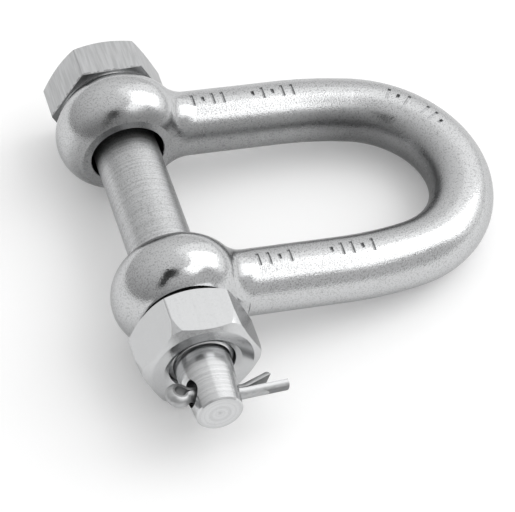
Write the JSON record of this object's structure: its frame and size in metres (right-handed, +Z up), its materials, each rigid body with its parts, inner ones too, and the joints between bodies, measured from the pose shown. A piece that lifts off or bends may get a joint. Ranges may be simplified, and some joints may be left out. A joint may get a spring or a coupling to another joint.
{
  "type": "dee shackle with safety bolt",
  "caption": "Stainless dee shackle: a forged bow with ball-shaped ears, closed by a headed bolt with a nut and a split pin through the bolt's turned-down end.",
  "frame": {"origin": "on the bolt's axis, midway between the two ears", "axes": "+Y along the bolt towards its head, +X towards the crown of the bow, +Z up as it lies on its ears and crown; the bow's plane is tipped 5.7 degrees about Y, crown down, and its bores are centred 0.45 mm above the bolt"},
  "size_m": [0.0518, 0.0553, 0.0159],
  "materials": {
    "bow_steel": "polished",
    "bolt_steel": "satin, turned",
    "nut_steel": "bright",
    "pin_steel": "polished"
  },
  "bodies": {
    "shackle": {"shackle_body": "bow_steel"},
    "nut": {"hex_nut": "nut_steel"},
    "bolt": {"safety_bolt": "bolt_steel"},
    "pin": {"split_pin": "pin_steel"}
  },
  "joints": [
    {"name": "bolt_turn", "type": "hinge", "parent": "shackle", "child": "nut", "pos_m": [0, 0, 0], "axis": [0, 1, 0], "continuous": true},
    {"name": "bolt_slide", "type": "slide", "parent": "nut", "child": "bolt", "axis": [0, 1, 0], "range_m": [0, 0.052]},
    {"name": "pin_pull", "type": "slide", "parent": "bolt", "child": "pin", "axis": [-0.9563, 0, 0.2924], "range_m": [0, 0.016], "deforming": ["split_pin"]}
  ]
}
